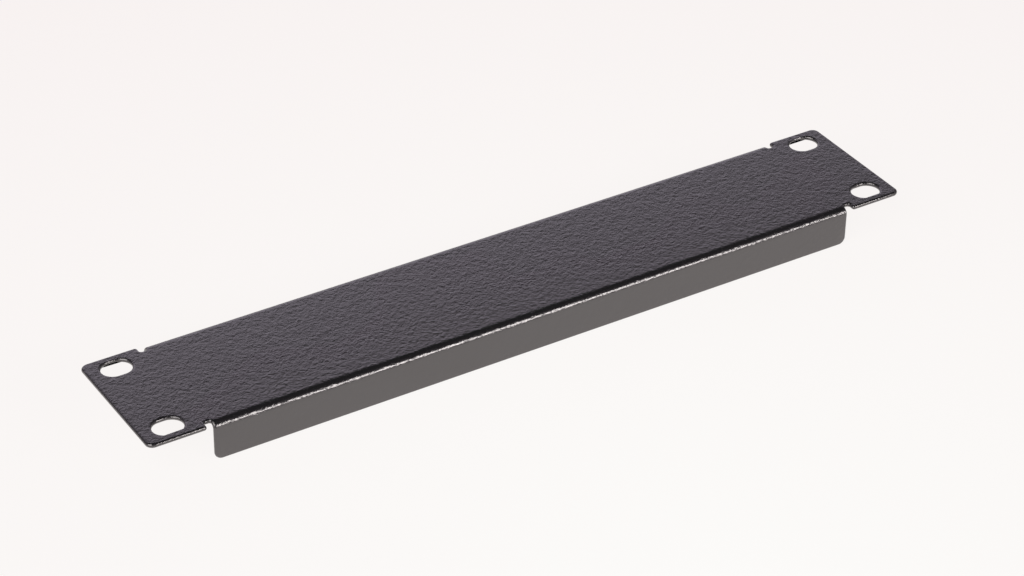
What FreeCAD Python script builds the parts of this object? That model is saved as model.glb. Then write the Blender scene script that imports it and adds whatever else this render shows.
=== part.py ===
import FreeCAD, Part

import math
import os

from FreeCAD import Vector

# A one-unit blanking panel for a 10-inch rack, cut and folded from one steel sheet.
# Millimetres. The panel lies face up on the edges of its two folded flanges.
# X runs along the panel, Y across it and Z up through the face.
# The origin is under the middle of the face, on the plane of the flange edges.

# The rack that the panel fits
rack_unit_height = 44.45
unit_hole_margin = 12.7      # one unit's height less the spacing of its outer two holes
post_hole_spacing = 236.525  # between the hole columns of the two posts
post_hole_inset = 7.1375     # from a hole column to the opening between the posts

# The sheet
steel_thickness = 1.2
coat_thickness = 0.1         # of powder coat, on each side
inner_bend_radius = 0.8
face_edge_radius = 0.3       # where the punch drew the sheet down, on the face's side
back_edge_chamfer = 0.15     # where the burr was taken off, behind the face

# The face and its ears
unit_gap = 0.79              # play between panels in neighbouring units
hole_to_end = 8.7375         # from a slot's centre to the end of its ear
ear_corner_radius = 2.3
slot_length = 9.1
slot_width = 7.3

# The flanges
opening_clearance = 3.9      # from a flange's end to the post beside it
flange_depth = 12.4          # from the outside of the face to the flange's edge
flange_corner_radius = 2.3

# The bend reliefs, between a flange's ends and the ears
relief_width = 2.05
relief_past_bend = 0.28      # how far a relief's end passes the start of the bend
relief_end_radius = 0.7
relief_mouth_radius = 0.5    # on the ear's corner beside a relief

sheet = steel_thickness + 2 * coat_thickness
outer_bend_radius = inner_bend_radius + sheet
panel_length = post_hole_spacing + 2 * hole_to_end
panel_height = rack_unit_height - unit_gap
slot_spacing = rack_unit_height - unit_hole_margin
opening_width = post_hole_spacing - 2 * post_hole_inset
flange_length = opening_width - 2 * opening_clearance

end = panel_length / 2
half_height = panel_height / 2
flange_end = flange_length / 2
relief_middle = flange_end + relief_width / 2
ear_start = flange_end + relief_width
relief_bottom = half_height - outer_bend_radius - relief_past_bend
through = flange_depth + 2 * sheet


def edges_at(shape, direction, **place):
    """The edges along one direction that lie at the given x, y or z, on either side of 0."""
    return [
        edge for edge in shape.Edges
        if abs(edge.tangentAt(edge.FirstParameter).dot(direction)) > 0.999
        and all(
            abs(abs(getattr(edge.CenterOfMass, axis)) - value) < 1e-4
            for axis, value in place.items()
        )
    ]


def folded_channel():
    """The middle of the face with both flanges: a block with rounded folds, shelled to the sheet."""
    block = Part.makeBox(
        2 * relief_middle, panel_height, flange_depth,
        Vector(-relief_middle, -half_height, 0),
    )
    folds = edges_at(block, Vector(1, 0, 0), z=flange_depth)
    block = block.makeFillet(outer_bend_radius, folds)
    open_sides = [
        face for face in block.Faces
        if abs(face.normalAt(0, 0).x) > 0.999 or face.normalAt(0, 0).z < -0.999
    ]
    return block.makeThickness(open_sides, -sheet, 1e-4)


def ears():
    """Both ears: a plate with rounded corners, less the middle that the folded channel takes."""
    plate = Part.makeBox(
        panel_length, panel_height, sheet,
        Vector(-end, -half_height, flange_depth - sheet),
    )
    plate = plate.makeFillet(ear_corner_radius, edges_at(plate, Vector(0, 0, 1), x=end))
    return plate.cut(Part.makeBox(
        2 * relief_middle, panel_height, sheet,
        Vector(-relief_middle, -half_height, flange_depth - sheet),
    ))


def mounting_slot(x_side, y_side):
    """A punch for one screw slot, long along the panel to take up the posts' play."""
    centre = Vector(x_side * post_hole_spacing / 2, y_side * slot_spacing / 2, -sheet)
    straight = Vector(slot_length / 2 - slot_width / 2, 0, 0)
    side = Vector(0, slot_width / 2, 0)
    tip = Vector(slot_length / 2, 0, 0)
    outline = Part.Wire([
        Part.LineSegment(centre - straight - side, centre + straight - side).toShape(),
        Part.Arc(centre + straight - side, centre + tip, centre + straight + side).toShape(),
        Part.LineSegment(centre + straight + side, centre - straight + side).toShape(),
        Part.Arc(centre - straight + side, centre - tip, centre - straight - side).toShape(),
    ])
    return Part.Face(outline).extrude(Vector(0, 0, through))


def bend_relief(x_side, y_side):
    """A punch for the notch that frees a flange's end from the ear beside it."""
    notch = Part.makeBox(
        relief_width, panel_height, through,
        Vector(flange_end, relief_bottom, -sheet),
    )
    notch = notch.makeFillet(relief_end_radius, edges_at(notch, Vector(0, 0, 1), y=relief_bottom))
    if x_side < 0:
        notch = notch.mirror(Vector(0, 0, 0), Vector(1, 0, 0))
    if y_side < 0:
        notch = notch.mirror(Vector(0, 0, 0), Vector(0, 1, 0))
    return notch


def normal_beside(face, point):
    """A face's normal at a point on its rim."""
    return face.normalAt(*face.Surface.parameter(point))


def cut_edges(solid, height):
    """The cut edges at one height of the flat sheet; a fillet runs on from them round the folds."""
    flat = [
        edge for edge in solid.Edges
        if edge.BoundBox.ZLength < 1e-3 and abs(edge.BoundBox.ZMin - height) < 1e-3
    ]
    found = []
    for edge in flat:
        middle = edge.valueAt((edge.FirstParameter + edge.LastParameter) / 2)
        first, second = solid.ancestorsOfType(edge, Part.Face)
        angle = normal_beside(first, middle).getAngle(normal_beside(second, middle))
        if math.degrees(angle) > 45:
            found.append(edge)
    return found


def panel():
    """The folded sheet with its slots and bend reliefs, its corners and all its edges rounded."""
    body = folded_channel().fuse(ears()).removeSplitter()
    corners = [(x_side, y_side) for x_side in (-1, 1) for y_side in (-1, 1)]
    body = body.cut([bend_relief(*corner) for corner in corners])
    body = body.cut([mounting_slot(*corner) for corner in corners])
    body = Part.Solid(body.Solids[0])
    flange_corners = edges_at(body, Vector(0, 1, 0), x=flange_end, z=0)
    body = body.makeFillet(flange_corner_radius, flange_corners)
    relief_mouths = edges_at(body, Vector(0, 0, 1), x=ear_start, y=half_height)
    body = body.makeFillet(relief_mouth_radius, relief_mouths)
    body = body.makeFillet(face_edge_radius, cut_edges(body, flange_depth))
    return body.makeChamfer(back_edge_chamfer, cut_edges(body, flange_depth - sheet))


os.makedirs("parts", exist_ok=True)
panel().exportStep("parts/panel.step")
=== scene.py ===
import math

import bmesh
import bpy
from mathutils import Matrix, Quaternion, Vector


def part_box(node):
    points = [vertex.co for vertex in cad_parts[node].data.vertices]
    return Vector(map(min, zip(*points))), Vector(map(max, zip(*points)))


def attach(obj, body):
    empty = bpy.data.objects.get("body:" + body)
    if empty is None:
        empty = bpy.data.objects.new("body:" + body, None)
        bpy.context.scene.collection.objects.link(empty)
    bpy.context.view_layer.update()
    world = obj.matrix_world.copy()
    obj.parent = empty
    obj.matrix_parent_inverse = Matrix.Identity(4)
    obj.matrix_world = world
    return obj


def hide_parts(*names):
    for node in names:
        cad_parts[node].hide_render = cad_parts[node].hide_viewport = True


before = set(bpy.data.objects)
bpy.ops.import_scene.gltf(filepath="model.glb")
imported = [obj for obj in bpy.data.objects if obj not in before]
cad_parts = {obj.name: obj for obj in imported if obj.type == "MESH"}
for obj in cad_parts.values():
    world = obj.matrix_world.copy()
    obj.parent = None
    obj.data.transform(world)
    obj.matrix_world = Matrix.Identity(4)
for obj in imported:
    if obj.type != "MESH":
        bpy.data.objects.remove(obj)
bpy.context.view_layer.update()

# The sheet. The panel is one piece of sheet steel, 1.4 mm thick with its paint. Its two long
# edges are folded down in a press brake, so that the face between the ears can't flex. The
# ears at its ends stay flat, and lie against the rack's posts under the screws.
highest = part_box("panel")[1]
end = highest.x
half_height = highest.y
face = highest.z
sheet = 0.0014
bend_radius = 0.0022
bend_steps = 8
bend_start = half_height - bend_radius
bend_axis = face - bend_radius
flange_end = 0.107225
relief_width = 0.00205
relief_middle = flange_end + relief_width / 2
run_end = 0.104
tiny = 1e-6


def select(kind, test):
    """Selects the edges or faces whose middle and extent pass a test, in edit mode."""
    bpy.ops.mesh.select_all(action="DESELECT")
    bpy.ops.mesh.select_mode(type="EDGE" if kind == "edges" else "FACE")
    mesh = bpy.context.object.data
    for element in getattr(bmesh.from_edit_mesh(mesh), kind):
        corners = [corner.co for corner in element.verts]
        low = Vector([min(corner[axis] for corner in corners) for axis in range(3)])
        high = Vector([max(corner[axis] for corner in corners) for axis in range(3)])
        element.select_set(test((low + high) / 2, high - low))
    bmesh.update_edit_mesh(mesh)


def level(value, target):
    """Tells whether a place lies at a distance from the middle, on either side."""
    return abs(abs(value) - target) < tiny


def finish_with(piece, kind, **settings):
    """Adds a modifier to a piece and applies it."""
    modifier = piece.modifiers.new(kind, kind)
    for name, value in settings.items():
        setattr(modifier, name, value)
    bpy.ops.object.select_all(action="DESELECT")
    piece.select_set(True)
    bpy.context.view_layer.objects.active = piece
    bpy.ops.object.modifier_apply(modifier=modifier.name)


bpy.ops.object.select_all(action="DESELECT")
bpy.ops.mesh.primitive_plane_add(size=2 * end)
panel = bpy.context.object
panel.name = "folded_panel"
bpy.ops.object.mode_set(mode="EDIT")
bpy.ops.transform.resize(value=(1, bend_start / end, 1))
bpy.ops.transform.translate(value=(0, 0, face))
for line in (-relief_middle, -run_end, run_end, relief_middle):
    bpy.ops.mesh.select_all(action="SELECT")
    bpy.ops.mesh.bisect(plane_co=(line, 0, 0), plane_no=(1, 0, 0), threshold=tiny)

# Each long edge goes on flat at the ears. Between them it turns down and runs on as a flange.
for side in (-1, 1):
    edge = side * bend_start
    select("edges", lambda at, size: abs(at.y - edge) < tiny and abs(at.x) > relief_middle)
    bpy.ops.mesh.extrude_region_move(
        TRANSFORM_OT_translate={"value": (0, side * bend_radius, 0)})
    select("edges", lambda at, size: abs(at.y - edge) < tiny and abs(at.x) < relief_middle)
    bpy.ops.mesh.spin(steps=bend_steps, angle=side * math.pi / 2, axis=(1, 0, 0),
                      center=(0, edge, bend_axis))
    bpy.ops.mesh.extrude_region_move(TRANSFORM_OT_translate={"value": (0, 0, -bend_axis)})
bpy.ops.mesh.select_all(action="SELECT")
bpy.ops.mesh.remove_doubles(threshold=tiny)
bpy.ops.mesh.normals_make_consistent(inside=False)
bpy.ops.object.mode_set(mode="OBJECT")
finish_with(panel, "SOLIDIFY", thickness=sheet, offset=-1, use_even_offset=True)

# The ears' outer corners are cut round, as on any panel that is handled
ear_corner_radius = 0.0023
corner_steps = 10
bpy.ops.object.mode_set(mode="EDIT")
select("edges", lambda at, size:
       size.z > sheet / 2 and level(at.x, end) and level(at.y, half_height))
bpy.ops.mesh.bevel(offset=ear_corner_radius, segments=corner_steps, affect="EDGES")
bpy.ops.object.mode_set(mode="OBJECT")

# The bend reliefs. A notch with rounded inner corners is punched at each end of both bends,
# so that the flange folds down without tearing the ear beside it.
relief_past_bend = 0.00028
relief_end_radius = 0.0007
relief_steps = 6
relief_bottom = bend_start - relief_past_bend
relief_depth = half_height - relief_bottom + sheet
relief_center = relief_bottom + relief_depth / 2
cutter_height = 3 * face


def punch(cutter):
    """Takes a cutter's shape out of the panel."""
    finish_with(panel, "BOOLEAN", operation="DIFFERENCE", solver="EXACT", object=cutter)
    bpy.data.objects.remove(cutter)


for x_side in (-1, 1):
    for y_side in (-1, 1):
        bpy.ops.object.select_all(action="DESELECT")
        bpy.ops.mesh.primitive_cube_add(size=1)
        relief_cutter = bpy.context.object
        bpy.ops.object.mode_set(mode="EDIT")
        bpy.ops.transform.resize(value=(relief_width, relief_depth, cutter_height))
        bpy.ops.transform.translate(value=(x_side * relief_middle, y_side * relief_center, 0))
        select("edges", lambda at, size: size.z > face and level(at.y, relief_bottom))
        bpy.ops.mesh.bevel(offset=relief_end_radius, segments=relief_steps, affect="EDGES")
        bpy.ops.object.mode_set(mode="OBJECT")
        punch(relief_cutter)

# The screw slots. They are punched on the rack's hole spacing, and are longer sideways, so
# that the panel can be lined up before its screws are tightened.
slot_x = 0.236525 / 2
slot_y = 0.03175 / 2
slot_length = 0.0091
slot_width = 0.0073
slot_facets = 48
for x_side in (-1, 1):
    for y_side in (-1, 1):
        bpy.ops.object.select_all(action="DESELECT")
        bpy.ops.mesh.primitive_cylinder_add(
            vertices=slot_facets, radius=slot_width / 2, depth=cutter_height)
        slot_cutter = bpy.context.object
        bpy.ops.object.mode_set(mode="EDIT")
        bpy.ops.mesh.bisect(plane_co=(0, 0, 0), plane_no=(1, 0, 0), threshold=tiny)
        for half in (-1, 1):
            select("faces", lambda at, size: at.x * half > tiny)
            bpy.ops.transform.translate(value=(half * (slot_length - slot_width) / 2, 0, 0))
        bpy.ops.mesh.select_all(action="SELECT")
        bpy.ops.transform.translate(value=(x_side * slot_x, y_side * slot_y, 0))
        bpy.ops.object.mode_set(mode="OBJECT")
        punch(slot_cutter)

# The edges. The flanges' lower corners and the ears' corners at the reliefs are rounded in
# outline. Every cut edge is tumbled smooth before painting, and the paint rounds it further.
flange_corner_radius = 0.0023
ear_start = flange_end + relief_width
relief_mouth_radius = 0.00075
mouth_steps = 5
rim_radius = 0.00067
rim_steps = 5
rim_angle = math.radians(60)
bpy.ops.object.mode_set(mode="EDIT")
select("edges", lambda at, size:
       size.y > sheet / 2 and level(at.x, flange_end) and level(at.z, 0))
bpy.ops.mesh.bevel(offset=flange_corner_radius, segments=corner_steps, affect="EDGES")
select("edges", lambda at, size:
       size.z > sheet / 2 and level(at.x, ear_start) and level(at.y, half_height))
bpy.ops.mesh.bevel(offset=relief_mouth_radius, segments=mouth_steps, affect="EDGES")
bpy.ops.object.mode_set(mode="OBJECT")
finish_with(panel, "BEVEL", width=rim_radius, segments=rim_steps, use_clamp_overlap=False,
            limit_method="ANGLE", angle_limit=rim_angle)

# The painted skin. The outside is divided into squares of half a millimetre, and textured
# paint makes it ripple by a few hundredths of a millimetre. The ripples calm down round the
# bends, where the sheet is stretched, and the flanges' lower edges stay straight.
run_rows = 78
run_cuts = (51, 7)
pitch = 2 * bend_start / run_rows
flange_rows = 20
ear_rows = int(half_height / pitch)
ear_columns = int((end - run_end) / pitch)
strip_width = bend_radius / 2
on_skin = bend_radius / 50
weld = 1e-5
ripple_size = 0.0011
ripple_height = 0.00006
bend_share = 0.7
crease_angle = math.radians(40)


def skin_depth(at):
    """How far a point lies under the outside of the sheet."""
    if abs(at.y) < bend_start or abs(at.x) > relief_middle:
        return face - at.z
    if at.z < bend_axis:
        return half_height - abs(at.y)
    return bend_radius - math.hypot(abs(at.y) - bend_start, at.z - bend_axis)


bpy.ops.object.mode_set(mode="EDIT")
select("edges", lambda at, size:
       level(at.x, run_end) and level(at.z, face) and size.y > bend_start)
bpy.ops.mesh.subdivide(number_cuts=run_rows - 1)
select("edges", lambda at, size:
       level(at.x, run_end) and level(at.y, half_height) and size.z > bend_axis / 2)
bpy.ops.mesh.subdivide(number_cuts=flange_rows - 1)
select("faces", lambda at, size:
       abs(at.x) > run_end and skin_depth(at) < on_skin and size.z < bend_axis
       and (size.z < tiny or size.y < strip_width))
bpy.ops.mesh.hide(unselected=True)
for row in range(-ear_rows, ear_rows + 1):
    bpy.ops.mesh.select_all(action="SELECT")
    bpy.ops.mesh.bisect(plane_co=(0, row * pitch, 0), plane_no=(0, 1, 0), threshold=weld)
for column in range(1, ear_columns):
    for side in (-1, 1):
        line = side * (run_end + column * pitch)
        bpy.ops.mesh.select_all(action="SELECT")
        bpy.ops.mesh.bisect(plane_co=(line, 0, 0), plane_no=(1, 0, 0), threshold=weld)
bpy.ops.mesh.reveal(select=False)

# The run between the ears is divided across in two rounds
long_edge = run_end
for cuts in run_cuts:
    select("edges", lambda at, size: size.x > long_edge and abs(at.x) < run_end)
    bpy.ops.mesh.subdivide(number_cuts=cuts)
    long_edge = long_edge / (cuts + 1)
bpy.ops.object.mode_set(mode="OBJECT")
outside = panel.vertex_groups.new(name="outside")
for point in panel.data.vertices:
    if skin_depth(point.co) < sheet / 2 and point.co.z > rim_radius:
        turned_down = abs(point.co.x) < relief_middle and abs(point.co.y) > bend_start
        outside.add([point.index], bend_share if turned_down else 1, "REPLACE")
ripples = bpy.data.textures.new("ripples", "CLOUDS")
ripples.noise_scale = ripple_size
ripples.noise_depth = 1
finish_with(panel, "DISPLACE", texture=ripples, texture_coords="LOCAL",
            vertex_group=outside.name, strength=ripple_height, mid_level=0.5)
bpy.ops.object.shade_smooth_by_angle(angle=crease_angle)

# The paint. It is black textured polyester powder coat, sprayed dry and baked, which shrinks
# into a fine leathery grain with a satin gloss. The grain shows as short strokes on the face,
# and breaks up the light line on the bend. The real grain also holds finer parts.
grain_size = 0.0012
grain_height = 0.00013
grain_detail = 2.5
grain_swirl = 0.8
cloud_size = 0.012
rough_spots = 0.23
smooth_spots = 0.21
paint_index = 1.68


def linear(code):
    """Turns an sRGB hex colour into linear values."""
    parts = [int(code[at:at + 2], 16) / 255 for at in (1, 3, 5)]
    return [part / 12.92 if part <= 0.04045 else ((part + 0.055) / 1.055) ** 2.4
            for part in parts] + [1]


def node(tree, kind, inputs=None, **settings):
    """Adds one node with its settings, its values and its links."""
    made = tree.nodes.new(kind)
    for name, value in settings.items():
        setattr(made, name, value)
    for name, value in (inputs or {}).items():
        if isinstance(value, bpy.types.NodeSocket):
            tree.links.new(value, made.inputs[name])
        else:
            made.inputs[name].default_value = value
    return made


paint = bpy.data.materials.new("textured_powder_coat")
paint.use_nodes = True
tree = paint.node_tree
tree.nodes.clear()
place = node(tree, "ShaderNodeTexCoord").outputs["Object"]
grain = node(tree, "ShaderNodeTexNoise", {
    "Vector": place, "Scale": 1 / grain_size, "Detail": grain_detail, "Roughness": 0.5,
    "Distortion": grain_swirl}).outputs["Fac"]
leather = node(tree, "ShaderNodeBump", {
    "Height": grain, "Strength": 1.0, "Distance": grain_height}).outputs["Normal"]

# The gloss is slightly cloudy over distances of a centimetre, as the powder falls unevenly
cloud = node(tree, "ShaderNodeTexNoise", {
    "Vector": place, "Scale": 1 / cloud_size, "Detail": 1.0}).outputs["Fac"]
gloss = node(tree, "ShaderNodeMapRange", {
    "Value": cloud, "From Min": 0.3, "From Max": 0.7,
    "To Min": smooth_spots, "To Max": rough_spots})

# The skin mirrors a little more strongly than clear resin does
skin = node(tree, "ShaderNodeBsdfPrincipled", {
    "Base Color": linear("#181719"), "Roughness": gloss.outputs["Result"], "IOR": paint_index,
    "Specular IOR Level": 1.0, "Specular Tint": linear("#fff8f7"), "Normal": leather})
node(tree, "ShaderNodeOutputMaterial", {"Surface": skin.outputs["BSDF"]})
panel.data.materials.clear()
panel.data.materials.append(paint)
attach(panel, "root")
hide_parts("panel")

# The floor. It is a wide sheet of matt white paper, lit until it is almost white to the eye
# and in reflections. Its glow carries a painted pool of light: brighter round the panel, a
# little greyer further away. It takes the panel's faint shadow.
floor_size = 6
glow_share = 0.93
light_pool_middle = (-0.02, -0.15, 0)
light_pool_reach = 0.4
bpy.ops.object.select_all(action="DESELECT")
bpy.ops.mesh.primitive_plane_add(size=floor_size)
floor = bpy.context.object
floor.name = "floor"
paper = bpy.data.materials.new("white_paper")
paper.use_nodes = True
tree = paper.node_tree
tree.nodes.clear()
matt = node(tree, "ShaderNodeBsdfDiffuse", {"Color": linear("#f4f2f0")}).outputs["BSDF"]
place = node(tree, "ShaderNodeTexCoord").outputs["Object"]
centered = node(tree, "ShaderNodeMapping", {
    "Vector": place, "Location": light_pool_middle, "Scale": (light_pool_reach, light_pool_reach, 1)},
    vector_type="TEXTURE").outputs["Vector"]
falloff = node(tree, "ShaderNodeTexGradient", {"Vector": centered}, gradient_type="SPHERICAL")
# Painted pool of light: the glow is brightest round the panel and greys further away
painted_light_pool = node(tree, "ShaderNodeMix", {
    0: falloff.outputs["Fac"], 6: linear("#fbf5f4"), 7: linear("#fffefc")},
    data_type="RGBA").outputs[2]
glow = node(tree, "ShaderNodeEmission", {"Color": painted_light_pool}).outputs["Emission"]
ray = node(tree, "ShaderNodeLightPath").outputs
mirrored = node(tree, "ShaderNodeMath", {
    0: ray["Is Glossy Ray"], 1: ray["Is Transmission Ray"]}, operation="MAXIMUM")
seen = node(tree, "ShaderNodeMath", {
    0: ray["Is Camera Ray"], 1: mirrored.outputs["Value"]}, operation="MAXIMUM")
share = node(tree, "ShaderNodeMath", {
    0: seen.outputs["Value"], 1: glow_share}, operation="MULTIPLY").outputs["Value"]
surface = node(tree, "ShaderNodeMixShader", {0: share, 1: matt, 2: glow})
node(tree, "ShaderNodeOutputMaterial", {"Surface": surface.outputs["Shader"]})
floor.data.materials.append(paper)

# The studio. It is a dim room with a dark ceiling, which the upper part of the bend mirrors.
# A low softbox in front on the right draws the light line along the bend, one on the left
# lights the paint evenly, and the face mirrors a large pale panel, whose edge shows the grain.
ceiling_starts = 0.5
ceiling_full = 0.75
room_light = bpy.data.worlds.new("studio")
room_light.use_nodes = True
bpy.context.scene.world = room_light
tree = room_light.node_tree
tree.nodes.clear()
way = node(tree, "ShaderNodeTexCoord").outputs["Generated"]
up = node(tree, "ShaderNodeSeparateXYZ", {"Vector": way}).outputs["Z"]
ceiling = node(tree, "ShaderNodeMapRange", {
    "Value": up, "From Min": ceiling_starts, "From Max": ceiling_full}).outputs["Result"]
dim = node(tree, "ShaderNodeMix", {
    0: ceiling, 6: linear("#87838a"), 7: linear("#323232")}, data_type="RGBA").outputs[2]
room = node(tree, "ShaderNodeBackground", {"Color": dim}).outputs["Background"]
backdrop = node(tree, "ShaderNodeBackground", {
    "Color": linear("#f8f6f4")}).outputs["Background"]
ray = node(tree, "ShaderNodeLightPath").outputs
sight = node(tree, "ShaderNodeMixShader", {0: ray["Is Camera Ray"], 1: room, 2: backdrop})
node(tree, "ShaderNodeOutputWorld", {"Surface": sight.outputs["Shader"]})


def softbox(name, towards, distance, width, height, radiance, colour, roll=0):
    """Hangs a softbox in a direction from the panel, turned to face it.

    Its radiance is how bright its surface looks, whatever its size.
    """
    data = bpy.data.lights.new(name, "AREA")
    data.shape = "RECTANGLE"
    data.size = width
    data.size_y = height
    data.energy = radiance * math.pi * width * height
    data.color = colour
    lamp = bpy.data.objects.new(name, data)
    lamp.location = Vector(towards).normalized() * distance
    facing = (-lamp.location).to_track_quat("-Z", "Y")
    lamp.rotation_euler = (facing @ Quaternion((0, 0, 1), math.radians(roll))).to_euler()
    bpy.context.scene.collection.objects.link(lamp)


softbox("low_front_softbox", towards=(0.44, -0.90, 0.385), distance=2.0,
        width=0.8, height=0.55, radiance=9.5, colour=(1.0, 0.99, 0.98))
softbox("far_panel", towards=(0.23, 0.80, 0.372), distance=2.6,
        width=3.2, height=1.3, radiance=0.69, colour=(1.0, 0.945, 1.12), roll=19)
softbox("left_fill", towards=(-0.75, -0.35, 0.62), distance=2.2,
        width=2.0, height=2.0, radiance=3.0, colour=(1.0, 1.0, 1.0))

# The camera. It has a long lens, which keeps the panel's long edges nearly parallel, and
# looks from the front left and from above, so that both ears and one bend show.
camera_place = Vector((-0.39897, -0.63066, 0.50635))
aim_point = Vector((-0.00282, -0.0066, face))
camera_roll = Quaternion((0, 0, 1), math.radians(0.953))
camera_data = bpy.data.cameras.new("camera")
camera_data.lens = 108.01
camera_data.sensor_width = 36
camera = bpy.data.objects.new("camera", camera_data)
camera.location = camera_place
facing = (aim_point - camera_place).to_track_quat("-Z", "Y")
camera.rotation_euler = (facing @ camera_roll).to_euler()
bpy.context.scene.collection.objects.link(camera)
bpy.context.scene.camera = camera
bpy.context.scene.view_settings.view_transform = "Standard"
